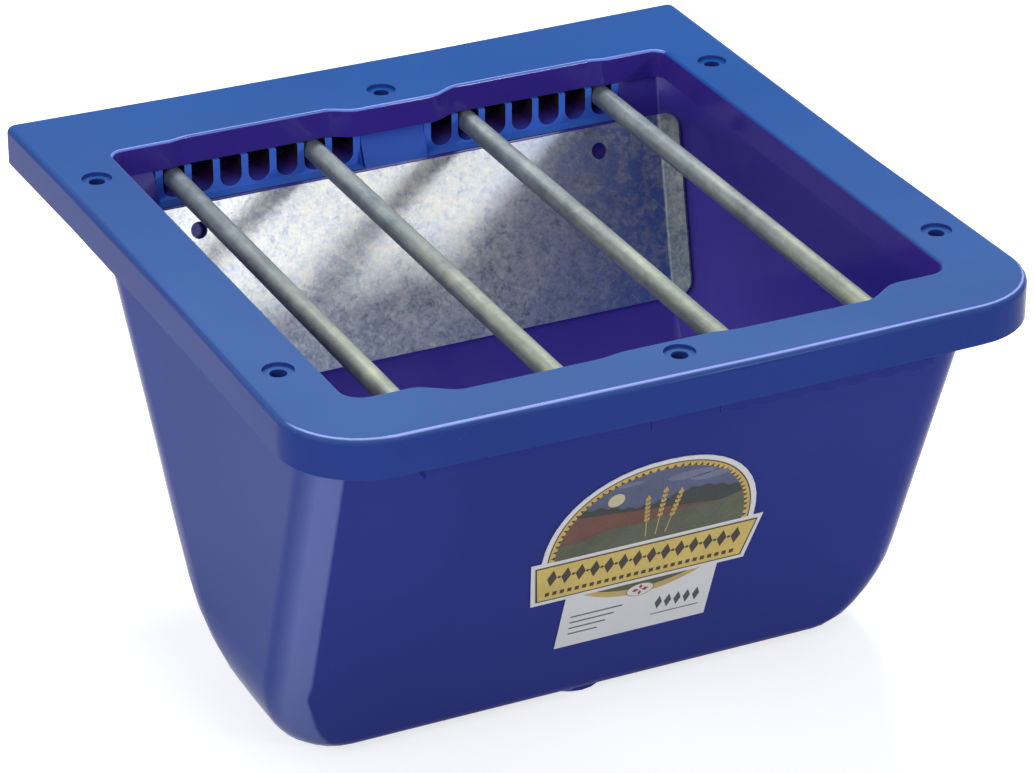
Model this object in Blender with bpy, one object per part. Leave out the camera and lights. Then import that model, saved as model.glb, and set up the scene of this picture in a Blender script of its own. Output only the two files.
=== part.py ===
"""Foal feeder: a moulded tub with a screwed-on rim frame, four loose grate bars and a steel back plate.

Metres, +Z up, +X right, +Y towards the fence. The sizes below are measured from the rim: depths go
down from the rim's top face, and "out" distances go from the middle of the rim. At the end the whole
feeder is moved so that the origin lies on the shelf that rests on the fence board.
"""
import math

import bmesh
import bpy
from mathutils import Matrix, Vector

# Rim frame
RIM_WIDTH = 0.325
RIM_LENGTH = 0.337
RIM_PLATE = 0.0035
SKIRT_HEIGHT = 0.017
SKIRT_WALL = 0.003
RIM_FRONT_CORNER = 0.035
RIM_BACK_CORNER = 0.0040
RIM_EDGE_FILLET = 0.003
SIDE_WAIST = 0.0015
BACK_DIP = 0.0025
FRONT_BOW = 0.0015

# Opening in the rim frame, with a lip that hangs down all round it
SIDE_RAIL = 0.0304
OPENING_FRONT_CORNER = 0.009
OPENING_BACK_CORNER = 0.006
OPENING_FILLET = 0.0015
LIP_HEIGHT = 0.013
LIP_WALL = 0.003
FRONT_RAIL_AT_CENTRE = 0.0277
FRONT_RAIL_AT_SLOTS = 0.0259
FRONT_RAIL_AT_CORNERS = 0.0352
BACK_RAIL_AT_CENTRE = 0.0512
BACK_RAIL_AT_SLOTS = 0.0457
BACK_RAIL_AT_CORNERS = 0.0473
INNER_JOG_START = 0.018
INNER_JOG_LENGTH = 0.014
FRONT_OUTER_JOG_SPACE = 0.015
FRONT_OUTER_JOG_LENGTH = 0.019
BACK_OUTER_JOG_SPACE = 0.0075
BACK_OUTER_JOG_LENGTH = 0.010
UNDER_RIB_WALL = 0.0025
UNDER_RIB_RELIEF = 0.0006
UNDER_RIB_END_SPACE = 0.012

# Gaps between pieces
SEAT_GAP = 0.0003
FLANGE_SIDE_GAP = 0.0005
HOLE_GAP = 0.0003

# Tub
TUB_DEPTH = 0.1961
TUB_WALL = 0.0031
TUB_FLOOR = 0.0034
FLANGE_WALL = 0.003
TUB_SIDE_INSET = 0.01375
TUB_FRONT_PAST_RAIL = 0.0034
TUB_BACK_PAST_RAIL = 0.0094
SIDE_LEAN = 0.020
FRONT_LEAN = 0.369
BACK_LEAN = 0.430
FRONT_CORNER_RADIUS = 0.0190
BACK_CREASE_INSET = 0.01445
BACK_CREASE_LEAN = 0.105
BACK_CREASE_ANGLE = math.radians(52)
BACK_CREASE_RADIUS = 0.0046
CREASE_SWELL_SHARE = 0.28
CREASE_SWELL_DROP = 0.0014
BACK_ROUND_START = 0.1046
SIDE_ROUND_WIDTH = 0.0270
SIDE_ROUND_HEIGHT = 0.0445
BACK_ROUND_LENGTH = 0.0240
FRONT_ROUND_LENGTH = 0.0066
FRONT_ROUND_HEIGHT = 0.0068
GATE_BOSS_RADIUS = 0.015
GATE_BOSS_DEPTH = 0.002
GATE_BOSS_FRONT_SPACE = 0.002

# Bars and the rows of sockets that they lie in
BAR_DIAMETER = 0.0095
BAR_END_GAP = 0.00215
BAR_CHAMFER = 0.0006
BAR_DEPTH = 0.0181
SLOT_PITCH = 0.0132
INNERMOST_SLOT_OUT = 0.0238
SLOT_SIDE_SPACE = 0.0285
ROW_LENGTH = 0.0165
ROW_END_WALL = 0.003
ROW_SIDE_WALL = 0.0034
ROW_BASE_DEPTH = 0.0286
POST_PROUD = 0.0013
LEDGE_DEPTH = 0.0276
SCALLOP_HEIGHT = 0.0017
SLOT_MOUTH_DROP = 0.0038
SLOT_MOUTH_LENGTH = 0.008

# Back plate
PLATE_WALL = 0.0015
PLATE_TOP_DEPTH = 0.0298
PLATE_HEIGHT = 0.0822
PLATE_WING_LENGTH = 0.0115
PLATE_WING_ANGLE = math.radians(56)
PLATE_BEND_RADIUS = 0.0025
PLATE_SIDE_GAP = 0.0003
PLATE_CORNER = 0.007
BOLT_CREASE_SPACE = 0.0377
BOLT_HOLE_DIAMETER = 0.0076
BOLT_DEPTH = 0.040
BOLT_HOLE_WEB = 0.0008

# Screws that hold the rim frame on the tub
SIDE_SCREW_INSET = 0.0161
SIDE_SCREW_END_SPACE = 0.07015
BACK_SCREW_PAST_TUB = 0.0006
FRONT_SCREW_PAST_TUB = 0.0053
RECESS_DIAMETER = 0.013
RECESS_DEPTH = 0.0016
HEAD_HOLE_DIAMETER = 0.0070
HEAD_SEAT_DEPTH = 0.0075
HEAD_HEIGHT = 0.0024
HEAD_CROSS_WIDTH = 0.0012
HEAD_CROSS_DEPTH = 0.0012
SHANK_DIAMETER = 0.0038
SHANK_END_DEPTH = 0.0160
RIM_BOSS_DIAMETER = 0.0150
TUB_BOSS_DIAMETER = 0.0100
TUB_BOSS_DEPTH = 0.0175

# Label on the front wall
LABEL_WALL = 0.0003
LABEL_GAP = 0.0003
LABEL_SHIFT = 0.0112
LABEL_TOP = 0.0679
LABEL_ARCH_WIDTH = 0.0970
LABEL_ARCH_HEIGHT = 0.0480
LABEL_ARCH_POWER = 2.2
BANNER_WIDTH = 0.1064
BANNER_HEIGHT = 0.0262
BANNER_END_RAKE = 0.0040
PANEL_WIDTH = 0.0700
PANEL_HEIGHT = 0.0316
PANEL_SHIFT = 0.0020

# Fineness, and shares of the piece that carries the shape
ARC_STEPS = 6
FILLET_STEPS = 4
CORNER_STEPS = 9
CREASE_STEPS = 4
FLOOR_ROUND_STEPS = 12
HOLE_SIDES = 20
BAR_SIDES = 24
SCREW_SIDES = 16
CUT_CLEARANCE = 0.004
EDGE_SHARES = (-0.75, -0.5, -0.25, 0, 0.25, 0.5, 0.75)
CORNER_SPARE_SHARE = 0.02
HEAD_CROWN_SHARE = 0.75
CROSS_LENGTH_SHARE = 0.7
SHANK_TIP_SHARE = 0.25

# Derived places
RIM_HALF_WIDTH = RIM_WIDTH / 2
RIM_HALF_LENGTH = RIM_LENGTH / 2
OPENING_HALF_WIDTH = RIM_HALF_WIDTH - SIDE_RAIL
FLANGE_DEPTH = LIP_HEIGHT + SEAT_GAP
FLANGE_UNDERSIDE_DEPTH = FLANGE_DEPTH + FLANGE_WALL
SLOT_WIDTH = BAR_DIAMETER + 2 * SEAT_GAP
SLOTS_PER_ROW = 1 + math.floor((OPENING_HALF_WIDTH - SLOT_SIDE_SPACE - INNERMOST_SLOT_OUT) / SLOT_PITCH)
OUTERMOST_SLOT_OUT = INNERMOST_SLOT_OUT + (SLOTS_PER_ROW - 1) * SLOT_PITCH
FILLED_SLOTS = (0, SLOTS_PER_ROW - 2)
ROW_START = INNERMOST_SLOT_OUT - SLOT_WIDTH / 2 - ROW_SIDE_WALL
ROW_END = OUTERMOST_SLOT_OUT + SLOT_WIDTH / 2 + ROW_SIDE_WALL
FRONT_OUTER_JOG_START = OUTERMOST_SLOT_OUT - FRONT_OUTER_JOG_SPACE
BACK_OUTER_JOG_START = OUTERMOST_SLOT_OUT - BACK_OUTER_JOG_SPACE
BACK_POST_OUT = RIM_HALF_LENGTH - BACK_RAIL_AT_SLOTS - POST_PROUD
FRONT_POST_OUT = RIM_HALF_LENGTH - FRONT_RAIL_AT_SLOTS - POST_PROUD
BAR_LENGTH = BACK_POST_OUT + FRONT_POST_OUT + 2 * (ROW_LENGTH - ROW_END_WALL - BAR_END_GAP)
TUB_HALF_WIDTH = RIM_HALF_WIDTH - TUB_SIDE_INSET
TUB_FRONT_OUT = RIM_HALF_LENGTH - FRONT_RAIL_AT_SLOTS + TUB_FRONT_PAST_RAIL
TUB_BACK_OUT = RIM_HALF_LENGTH - BACK_RAIL_AT_SLOTS + TUB_BACK_PAST_RAIL
BACK_CREASE_OUT = TUB_HALF_WIDTH - BACK_CREASE_INSET
PLATE_TILT = math.atan(BACK_LEAN)
FRONT_TILT = math.atan(FRONT_LEAN)
BACK_ROUND_HEIGHT = TUB_DEPTH - BACK_ROUND_START
CREASE_SWELL_DEPTH = BACK_ROUND_START + CREASE_SWELL_DROP
BOLT_OUT = BACK_CREASE_OUT - BOLT_CREASE_SPACE
SHELF_OUT = (BACK_POST_OUT + ROW_LENGTH + RIM_HALF_LENGTH - SKIRT_WALL) / 2
SIDE_SCREW_OUT = RIM_HALF_WIDTH - SIDE_SCREW_INSET
SIDE_SCREW_ALONG = RIM_HALF_LENGTH - SIDE_SCREW_END_SPACE
SCREW_PLACES = (
    (-SIDE_SCREW_OUT, SIDE_SCREW_ALONG),
    (SIDE_SCREW_OUT, SIDE_SCREW_ALONG),
    (-SIDE_SCREW_OUT, -SIDE_SCREW_ALONG),
    (SIDE_SCREW_OUT, -SIDE_SCREW_ALONG),
    (0, TUB_BACK_OUT + BACK_SCREW_PAST_TUB),
    (0, -TUB_FRONT_OUT - FRONT_SCREW_PAST_TUB),
)


def clear_scene():
    for obj in list(bpy.data.objects):
        bpy.data.objects.remove(obj, do_unlink=True)


def make_material(name, colour, roughness, metallic=0.0):
    material = bpy.data.materials.new(name)
    material.use_nodes = True
    shader = material.node_tree.nodes["Principled BSDF"]
    shader.inputs["Base Color"].default_value = (*colour, 1.0)
    shader.inputs["Roughness"].default_value = roughness
    shader.inputs["Metallic"].default_value = metallic
    material.diffuse_color = (*colour, 1.0)
    return material


def add_object(name, mesh, material=None):
    obj = bpy.data.objects.new(name, mesh)
    bpy.context.scene.collection.objects.link(obj)
    if material:
        mesh.materials.append(material)
    return obj


def solid_from_rings(name, rings, material=None):
    """A closed body through rings of equally many points, with a flat cap at each end."""
    mesh = bpy.data.meshes.new(name)
    count = len(rings[0])
    points = [point for ring in rings for point in ring]
    faces = [tuple(range(count)), tuple(range(len(points) - 1, len(points) - 1 - count, -1))]
    for ring in range(len(rings) - 1):
        for i in range(count):
            here = ring * count + i
            beside = ring * count + (i + 1) % count
            faces.append((here, here + count, beside + count, beside))
    mesh.from_pydata(points, [], faces)
    fix_normals(mesh)
    return add_object(name, mesh, material)


def fix_normals(mesh):
    work = bmesh.new()
    work.from_mesh(mesh)
    bmesh.ops.recalc_face_normals(work, faces=work.faces)
    work.to_mesh(mesh)
    work.free()


def prism(name, outline, top_depth, bottom_depth, material=None):
    """An outline in plan, drawn down from one depth to another."""
    rings = [[(x, y, -depth) for x, y in outline] for depth in (top_depth, bottom_depth)]
    return solid_from_rings(name, rings, material)


def prism_along_y(name, outline, start, end, material=None):
    """An outline of (x, depth) points, drawn from one y to another."""
    rings = [[(x, y, -depth) for x, depth in outline] for y in (start, end)]
    return solid_from_rings(name, rings, material)


def prism_along_x(name, outline, start, end, material=None):
    """An outline of (y, depth) points, drawn from one x to another."""
    rings = [[(x, y, -depth) for y, depth in outline] for x in (start, end)]
    return solid_from_rings(name, rings, material)


def box_outline(x0, x1, y0, y1):
    return [(x0, y0), (x1, y0), (x1, y1), (x0, y1)]


def circle(x, y, radius, sides=HOLE_SIDES):
    turns = [2 * math.pi * i / sides for i in range(sides)]
    return [(x + radius * math.cos(a), y + radius * math.sin(a)) for a in turns]


def combine(target, other, operation):
    """Cut the other body from the target or join it to the target, and remove the other body."""
    modifier = target.modifiers.new(operation.lower(), "BOOLEAN")
    modifier.operation = operation
    modifier.solver = "EXACT"
    modifier.object = other
    bpy.context.view_layer.update()
    evaluated = target.evaluated_get(bpy.context.evaluated_depsgraph_get())
    result = bpy.data.meshes.new_from_object(evaluated)
    target.modifiers.clear()
    target.data = result
    bpy.data.objects.remove(other, do_unlink=True)


def cut(target, *cutters):
    for cutter in cutters:
        combine(target, cutter, "DIFFERENCE")


def join(target, *bodies):
    for body in bodies:
        combine(target, body, "UNION")


def shade_smooth(obj, angle=math.radians(32)):
    """Smooth shading, with every edge sharper than the angle kept crisp."""
    work = bmesh.new()
    work.from_mesh(obj.data)
    for face in work.faces:
        face.smooth = True
    for edge in work.edges:
        edge.smooth = edge.is_manifold and edge.calc_face_angle(0) < angle
    work.to_mesh(obj.data)
    work.free()


def ease(value, start, length):
    """0 before the start, 1 after the length, and a smooth rise between them."""
    t = min(1.0, max(0.0, (value - start) / length))
    return t * t * (3 - 2 * t)


def arc(cx, cy, rx, ry, start, steps):
    """A quarter of an ellipse, anticlockwise from the start angle."""
    turns = [start + math.pi / 2 * i / steps for i in range(steps + 1)]
    return [(cx + rx * math.cos(a), cy + ry * math.sin(a)) for a in turns]


def round_drop(depth, bottom, length, height):
    """How far a wall has curved in at a depth, where a quarter ellipse ends it at the bottom."""
    reach = min(1.0, max(0.0, (depth - (bottom - height)) / height))
    return length * (1 - math.sqrt(1 - reach * reach))


# Rim frame

def rim_outline(inset=0.0):
    """The rim's outer edge in plan: waisted sides, a bowed front and a dipped back."""
    half_width = RIM_HALF_WIDTH - inset
    half_length = RIM_HALF_LENGTH - inset
    front_radius = RIM_FRONT_CORNER - inset
    back_radius = RIM_BACK_CORNER - inset
    side_middle = (front_radius - back_radius) / 2
    side_half = half_length - (front_radius + back_radius) / 2
    front_half = half_width - front_radius
    back_half = half_width - back_radius
    outline = arc(half_width - front_radius, -half_length + front_radius,
                  front_radius, front_radius, -math.pi / 2, CORNER_STEPS)
    outline += [(half_width - SIDE_WAIST * (1 - s * s), side_middle + s * side_half) for s in EDGE_SHARES]
    outline += arc(half_width - back_radius, half_length - back_radius, back_radius, back_radius, 0, ARC_STEPS)
    outline += [(-s * back_half, half_length - BACK_DIP * (1 - s * s)) for s in EDGE_SHARES]
    outline += arc(-half_width + back_radius, half_length - back_radius,
                   back_radius, back_radius, math.pi / 2, ARC_STEPS)
    outline += [(-half_width + SIDE_WAIST * (1 - s * s), side_middle - s * side_half) for s in EDGE_SHARES]
    outline += arc(-half_width + front_radius, -half_length + front_radius,
                   front_radius, front_radius, math.pi, CORNER_STEPS)
    outline += [(s * front_half, -half_length - FRONT_BOW * (1 - s * s)) for s in EDGE_SHARES]
    return outline


def rail_width(x, at_centre, at_slots, at_corners, outer_start, outer_length):
    """The width of the front or back rail at a place along it."""
    to_slots = ease(abs(x), INNER_JOG_START, INNER_JOG_LENGTH)
    to_corners = ease(abs(x), outer_start, outer_length)
    return at_centre + (at_slots - at_centre) * to_slots + (at_corners - at_slots) * to_corners


def front_edge(x):
    rail = rail_width(x, FRONT_RAIL_AT_CENTRE, FRONT_RAIL_AT_SLOTS, FRONT_RAIL_AT_CORNERS,
                      FRONT_OUTER_JOG_START, FRONT_OUTER_JOG_LENGTH)
    return -RIM_HALF_LENGTH + rail


def back_edge(x):
    rail = rail_width(x, BACK_RAIL_AT_CENTRE, BACK_RAIL_AT_SLOTS, BACK_RAIL_AT_CORNERS,
                      BACK_OUTER_JOG_START, BACK_OUTER_JOG_LENGTH)
    return RIM_HALF_LENGTH - rail


def edge_places(outer_start, outer_length):
    """Places along the front or back of the opening, close together only on the jogs."""
    right = []
    for start, length in ((INNER_JOG_START, INNER_JOG_LENGTH), (outer_start, outer_length)):
        right += [start + length * i / ARC_STEPS for i in range(ARC_STEPS + 1)]
    return [-x for x in reversed(right)] + right


def opening_outline(grow=0.0):
    """The opening's edge in plan, with the front and back rails jogged at the sockets."""
    half_width = OPENING_HALF_WIDTH + grow
    front_radius = OPENING_FRONT_CORNER + grow
    back_radius = OPENING_BACK_CORNER + grow
    front = front_edge(OPENING_HALF_WIDTH) - grow
    back = back_edge(OPENING_HALF_WIDTH) + grow
    front_places = edge_places(FRONT_OUTER_JOG_START, FRONT_OUTER_JOG_LENGTH)
    back_places = edge_places(BACK_OUTER_JOG_START, BACK_OUTER_JOG_LENGTH)
    outline = arc(half_width - front_radius, front + front_radius, front_radius, front_radius, -math.pi / 2, ARC_STEPS)
    outline += arc(half_width - back_radius, back - back_radius, back_radius, back_radius, 0, ARC_STEPS)
    outline += [(x, back_edge(x) + grow) for x in reversed(back_places)]
    outline += arc(-half_width + back_radius, back - back_radius, back_radius, back_radius, math.pi / 2, ARC_STEPS)
    outline += arc(-half_width + front_radius, front + front_radius, front_radius, front_radius, math.pi, ARC_STEPS)
    outline += [(x, front_edge(x) - grow) for x in front_places]
    return outline


def fillet_rings(outline, size):
    """Rings that round an outline's edge at the rim's top face."""
    rings = []
    for i in range(FILLET_STEPS + 1):
        turn = math.pi / 2 * i / FILLET_STEPS
        inset = size * (1 - math.cos(turn))
        depth = size * (1 - math.sin(turn))
        rings.append([(x, y, -depth) for x, y in outline(inset)])
    return rings


def rim_block():
    skirt = [(x, y, -SKIRT_HEIGHT) for x, y in rim_outline()]
    return solid_from_rings("rim_frame", [skirt] + fillet_rings(rim_outline, RIM_EDGE_FILLET))


def opening_cutter():
    below = [(x, y, -SKIRT_HEIGHT - CUT_CLEARANCE) for x, y in opening_outline()]
    rings = fillet_rings(opening_outline, OPENING_FILLET)
    above = [(x, y, CUT_CLEARANCE) for x, y, _ in rings[-1]]
    return solid_from_rings("opening_cutter", [below] + rings + [above])


def hold_down_pads():
    """Thick stretches of the lip that close the tops of the sockets."""
    inner_space = ROW_START + SEAT_GAP
    pads = []
    for side in (-1, 1):
        x0, x1 = sorted((side * inner_space, side * (ROW_END - SEAT_GAP)))
        for post, sign in ((BACK_POST_OUT, 1), (FRONT_POST_OUT, -1)):
            y0, y1 = sorted((sign * (post - LIP_WALL), sign * (post + ROW_LENGTH)))
            pads.append(prism("pad", box_outline(x0, x1, y0, y1), 0, LIP_HEIGHT))
    return pads


def under_rib():
    """A stiffening rib under the wide back rail, along the backs of the hold-down pads."""
    start = BACK_POST_OUT + ROW_LENGTH - UNDER_RIB_WALL / 2
    half = RIM_HALF_WIDTH - UNDER_RIB_END_SPACE
    outline = box_outline(-half, half, start, start + UNDER_RIB_WALL)
    return prism("under_rib", outline, 0, LIP_HEIGHT - UNDER_RIB_RELIEF)


def make_rim_frame(material):
    frame = rim_block()
    hollow = prism("hollow", rim_outline(SKIRT_WALL), RIM_PLATE, SKIRT_HEIGHT + CUT_CLEARANCE)
    cut(hollow, prism("lip", opening_outline(LIP_WALL), 0, LIP_HEIGHT), *hold_down_pads(), under_rib())
    for x, y in SCREW_PLACES:
        cut(hollow, prism("boss", circle(x, y, RIM_BOSS_DIAMETER / 2), 0, LIP_HEIGHT))
    cut(frame, hollow, opening_cutter())
    for x, y in SCREW_PLACES:
        cut(
            frame,
            prism("recess", circle(x, y, RECESS_DIAMETER / 2), -CUT_CLEARANCE, RECESS_DEPTH),
            prism("head_hole", circle(x, y, HEAD_HOLE_DIAMETER / 2), 0, HEAD_SEAT_DEPTH),
            prism("shank_hole", circle(x, y, SHANK_DIAMETER / 2 + HOLE_GAP), 0, LIP_HEIGHT + CUT_CLEARANCE),
        )
    frame.data.materials.clear()
    frame.data.materials.append(material)
    shade_smooth(frame)
    return frame


# Tub

def tub_section(depth, wall=0.0, floor=0.0):
    """The tub's outline at a depth, as it is outside or inset by the wall and the floor."""
    bottom = TUB_DEPTH - floor
    side_drop = round_drop(depth, bottom, SIDE_ROUND_WIDTH - wall, SIDE_ROUND_HEIGHT - floor)
    front_drop = round_drop(depth, bottom, FRONT_ROUND_LENGTH - wall, FRONT_ROUND_HEIGHT - floor)
    back_drop = round_drop(depth, bottom, BACK_ROUND_LENGTH - wall, BACK_ROUND_HEIGHT - floor)
    half_width = TUB_HALF_WIDTH - SIDE_LEAN * depth - wall - side_drop
    front = -TUB_FRONT_OUT + FRONT_LEAN * depth + wall + front_drop
    back = TUB_BACK_OUT - BACK_LEAN * depth - wall - back_drop
    front_radius = FRONT_CORNER_RADIUS - wall
    crease = crease_out(depth, wall) - side_drop
    crease_radius = BACK_CREASE_RADIUS + CREASE_SWELL_SHARE * max(0.0, depth - CREASE_SWELL_DEPTH) - wall
    right = arc(half_width - front_radius, front + front_radius,
                front_radius, front_radius, -math.pi / 2, ARC_STEPS)
    right += creased_corner(crease, crease_radius, half_width, back, front + front_radius)
    left = [(-x, y) for x, y in reversed(right)]
    return [(x, y, -depth) for x, y in right + left]


def creased_corner(crease, crease_radius, side, back, front_limit):
    """A rear corner in plan: a long curve from the side, and a short one where it meets the flat back."""
    angle = BACK_CREASE_ANGLE
    setback = crease_radius * math.tan(angle / 2)
    start_x = crease + setback * math.cos(angle)
    start_y = back - setback * math.sin(angle)
    radius = (side - start_x) / (1 - math.sin(angle))
    length = min(radius * math.cos(angle), (start_y - front_limit) * (1 - CORNER_SPARE_SHARE))
    corner = []
    for i in range(CORNER_STEPS):
        turn = math.pi / 2 + (angle - math.pi / 2) * i / CORNER_STEPS
        x = start_x + radius * (math.sin(turn) - math.sin(angle))
        y = start_y - length * (1 - math.cos(turn) / math.cos(angle))
        corner.append((x, y))
    for i in range(CREASE_STEPS + 1):
        turn = angle * (1 - i / CREASE_STEPS)
        x = crease - setback + crease_radius * math.sin(turn)
        corner.append((x, back - crease_radius * (1 - math.cos(turn))))
    return corner


def tub_depths(start, floor=0.0):
    """Depths for the tub's sections, close together where the floor curves."""
    bottom = TUB_DEPTH - floor
    height = BACK_ROUND_HEIGHT - floor
    turns = [math.pi / 2 * i / FLOOR_ROUND_STEPS for i in range(FLOOR_ROUND_STEPS + 1)]
    return [start] + [bottom - height * (1 - math.sin(turn)) for turn in turns]


def socket_body(name, side, post_out, sign, start, end, wall_out):
    """The block behind a stretch of sockets: an upright post face over a ledge that slopes to the wall."""
    outer = sign * (post_out + ROW_LENGTH)
    profile = [
        (sign * post_out, FLANGE_DEPTH),
        (sign * post_out, LEDGE_DEPTH),
        (sign * wall_out, ROW_BASE_DEPTH),
        (outer, ROW_BASE_DEPTH),
        (outer, FLANGE_DEPTH),
    ]
    x0, x1 = sorted((side * start, side * end))
    return prism_along_x(name, profile, x0, x1)


def inner_wall_out(depth, wall_out_at_rim, lean):
    return wall_out_at_rim - lean * depth - TUB_WALL


def row_windows():
    """Room in the tub's walls and flange for the four rows of sockets."""
    windows = []
    for side in (-1, 1):
        x0, x1 = sorted((side * (ROW_START - SEAT_GAP), side * (ROW_END + SEAT_GAP)))
        for post, sign in ((BACK_POST_OUT, 1), (FRONT_POST_OUT, -1)):
            y0, y1 = sorted((sign * (post - ROW_LENGTH), sign * (post + ROW_LENGTH + SEAT_GAP)))
            windows.append(prism("window", box_outline(x0, x1, y0, y1), 0, ROW_BASE_DEPTH + SEAT_GAP))
    return windows


def crease_out(depth, wall):
    """How far out the crease of a rear corner is, on the wall's face at that inset."""
    return BACK_CREASE_OUT - BACK_CREASE_LEAN * depth - wall * math.tan(BACK_CREASE_ANGLE / 2)


def plate_half_flat():
    """Half the plate's flat width at its top, so that its bends lie in the tub's creases."""
    bend_setback = (SEAT_GAP + PLATE_WALL / 2 + PLATE_BEND_RADIUS) * math.tan(PLATE_WING_ANGLE / 2)
    return crease_out(PLATE_TOP_DEPTH, TUB_WALL) - PLATE_SIDE_GAP - bend_setback


def plate_frame():
    """The back plate's own axes: along the tub, up the wall and out of the wall, from the bolt line."""
    wall_out = inner_wall_out(BOLT_DEPTH, TUB_BACK_OUT, BACK_LEAN)
    rotation = Matrix.Rotation(-PLATE_TILT, 4, "X")
    return Matrix.Translation((0, wall_out, -BOLT_DEPTH)) @ rotation


def bolt_cutter(side, into_wall):
    """A round hole square to the back wall, through the plate and some way into the wall."""
    start = -(SEAT_GAP + PLATE_WALL + CUT_CLEARANCE)
    outline = circle(side * BOLT_OUT, 0, BOLT_HOLE_DIAMETER / 2)
    frame = plate_frame()
    rings = [[tuple(frame @ Vector((x, y, z))) for x, z in outline] for y in (start, into_wall)]
    return solid_from_rings("bolt_cutter", rings)


def make_tub(material):
    tub = prism("tub", rim_outline(SKIRT_WALL + FLANGE_SIDE_GAP), FLANGE_DEPTH, FLANGE_UNDERSIDE_DEPTH)
    middle_depth = (FLANGE_DEPTH + FLANGE_UNDERSIDE_DEPTH) / 2
    body = solid_from_rings("body", [tub_section(depth) for depth in tub_depths(middle_depth)])
    join(tub, body, gate_boss())
    cavity_depths = tub_depths(FLANGE_DEPTH - CUT_CLEARANCE, TUB_FLOOR)
    cut(tub, solid_from_rings("cavity", [tub_section(depth, TUB_WALL, TUB_FLOOR) for depth in cavity_depths]))
    join(tub, *centre_blocks())
    for x, y in SCREW_PLACES:
        join(tub, prism("boss", circle(x, y, TUB_BOSS_DIAMETER / 2), FLANGE_DEPTH, TUB_BOSS_DEPTH))
    into_wall = TUB_WALL * math.cos(PLATE_TILT) - BOLT_HOLE_WEB
    cut(tub, *row_windows(), bolt_cutter(-1, into_wall), bolt_cutter(1, into_wall))
    for x, y in SCREW_PLACES:
        pilot = circle(x, y, SHANK_DIAMETER / 2 + HOLE_GAP)
        cut(tub, prism("pilot", pilot, FLANGE_DEPTH - CUT_CLEARANCE, SHANK_END_DEPTH + HOLE_GAP))
    tub.data.materials.clear()
    tub.data.materials.append(material)
    shade_smooth(tub)
    return tub


def gate_boss():
    """A low round boss under the front of the floor, left by the moulding."""
    front = -TUB_FRONT_OUT + FRONT_LEAN * TUB_DEPTH + FRONT_ROUND_LENGTH
    outline = circle(0, front + GATE_BOSS_RADIUS - GATE_BOSS_FRONT_SPACE, GATE_BOSS_RADIUS)
    return prism("gate_boss", outline, TUB_DEPTH - TUB_FLOOR / 2, TUB_DEPTH + GATE_BOSS_DEPTH)


def centre_blocks():
    """The solid stretches between the two rows of sockets at the front and at the back."""
    back_wall = inner_wall_out(ROW_BASE_DEPTH, TUB_BACK_OUT, BACK_LEAN)
    front_wall = inner_wall_out(ROW_BASE_DEPTH, TUB_FRONT_OUT, FRONT_LEAN)
    return [
        socket_body("block", 1, BACK_POST_OUT, 1, -ROW_START, ROW_START, back_wall),
        socket_body("block", 1, FRONT_POST_OUT, -1, -ROW_START, ROW_START, front_wall),
    ]


def slot_place(index):
    """How far out a socket is, counted inwards from the outermost."""
    return OUTERMOST_SLOT_OUT - index * SLOT_PITCH


def slot_cutter(x, post_out, sign):
    """A U that is open at the top and at the post face, deeper there, and closed at its far end."""
    radius = SLOT_WIDTH / 2
    round_end = arc(x, 0, radius, radius, 0, ARC_STEPS)
    round_end += arc(x, 0, radius, radius, math.pi / 2, ARC_STEPS)[1:]
    top = FLANGE_DEPTH - CUT_CLEARANCE
    slope = SLOT_MOUTH_DROP / SLOT_MOUTH_LENGTH
    stations = (
        (post_out - CUT_CLEARANCE, BAR_DEPTH + SLOT_MOUTH_DROP + slope * CUT_CLEARANCE),
        (post_out + SLOT_MOUTH_LENGTH, BAR_DEPTH),
        (post_out + ROW_LENGTH - ROW_END_WALL, BAR_DEPTH),
    )
    rings = []
    for out, centre in stations:
        outline = [(x + radius, top)] + [(px, centre + down) for px, down in round_end] + [(x - radius, top)]
        rings.append([(px, sign * out, -depth) for px, depth in outline])
    return solid_from_rings("slot", rings)


def scallop_cutter(side, post_out, sign, wall_out):
    """Trims the row's underside, outside the tub's wall, to one shallow arc under each socket."""
    half = SLOT_PITCH / 2
    radius = (half * half + SCALLOP_HEIGHT * SCALLOP_HEIGHT) / (2 * SCALLOP_HEIGHT)
    outline = []
    for index in range(SLOTS_PER_ROW):
        for i in range(ARC_STEPS + 1):
            offset = half - SLOT_PITCH * i / ARC_STEPS
            rise = radius - math.sqrt(radius * radius - offset * offset)
            outline.append((slot_place(index) + offset, ROW_BASE_DEPTH - rise))
    low = ROW_BASE_DEPTH + CUT_CLEARANCE
    outline += [(ROW_START - CUT_CLEARANCE, ROW_BASE_DEPTH), (ROW_START - CUT_CLEARANCE, low)]
    outline += [(ROW_END + CUT_CLEARANCE, low), (ROW_END + CUT_CLEARANCE, ROW_BASE_DEPTH)]
    outline = [(side * x, depth) for x, depth in outline]
    ends = (sign * wall_out, sign * (post_out + ROW_LENGTH + CUT_CLEARANCE))
    return prism_along_y("scallops", outline, *ends)


def make_socket_row(name, side, sign, material):
    """Seven sockets in one half of the front wall or of the back wall."""
    post_out, rim_out, lean = (
        (BACK_POST_OUT, TUB_BACK_OUT, BACK_LEAN) if sign > 0 else (FRONT_POST_OUT, TUB_FRONT_OUT, FRONT_LEAN)
    )
    wall_out = inner_wall_out(ROW_BASE_DEPTH, rim_out, lean)
    row = socket_body(name, side, post_out, sign, ROW_START, ROW_END, wall_out)
    cut(row, scallop_cutter(side, post_out, sign, wall_out + 2 * TUB_WALL))
    for index in range(SLOTS_PER_ROW):
        cut(row, slot_cutter(side * slot_place(index), post_out, sign))
    row.data.materials.clear()
    row.data.materials.append(material)
    shade_smooth(row)
    return row


# Bars, plate, screws and label

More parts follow.
